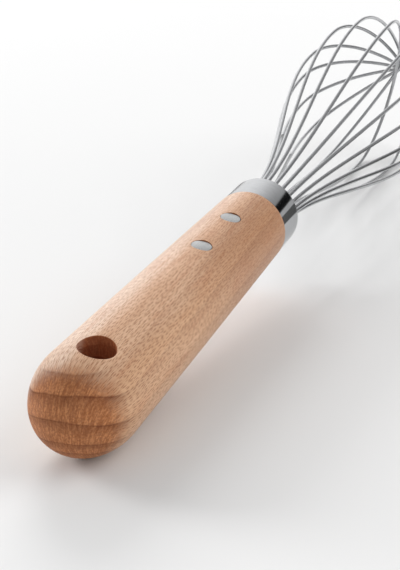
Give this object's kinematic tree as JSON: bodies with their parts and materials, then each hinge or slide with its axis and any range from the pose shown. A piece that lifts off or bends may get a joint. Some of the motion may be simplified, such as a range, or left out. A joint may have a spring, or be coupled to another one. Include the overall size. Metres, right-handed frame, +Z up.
{
  "type": "whisk",
  "caption": "Balloon whisk: turned beech handle with a hanging hole and flush pins, polished steel ferrule and a cage of bent wire loops, lying as it rests on a worktop.",
  "frame": {"origin": "middle of the whisk's box, on the worktop it lies on", "axes": "+X from the handle's butt towards the cage, +Z up from the worktop; the whisk's own axis climbs about three degrees towards the cage"},
  "size_m": [0.301, 0.0584, 0.0581],
  "materials": {
    "beech": "oiled, satin",
    "polished_steel": "polished",
    "steel": "satin",
    "wire": "drawn, bright"
  },
  "bodies": {
    "root": {"handle": "beech", "ferrule": "polished_steel", "mouth_plate": "steel", "tang": "steel", "crimp_ring": "steel", "front_pin": "steel", "rear_pin": "steel", "wire_loop_1": "wire", "wire_loop_2": "wire", "wire_loop_3": "wire", "wire_loop_4": "wire", "wire_loop_5": "wire", "wire_loop_6": "wire", "wire_loop_7": "wire", "wire_loop_8": "wire"}
  },
  "joints": []
}
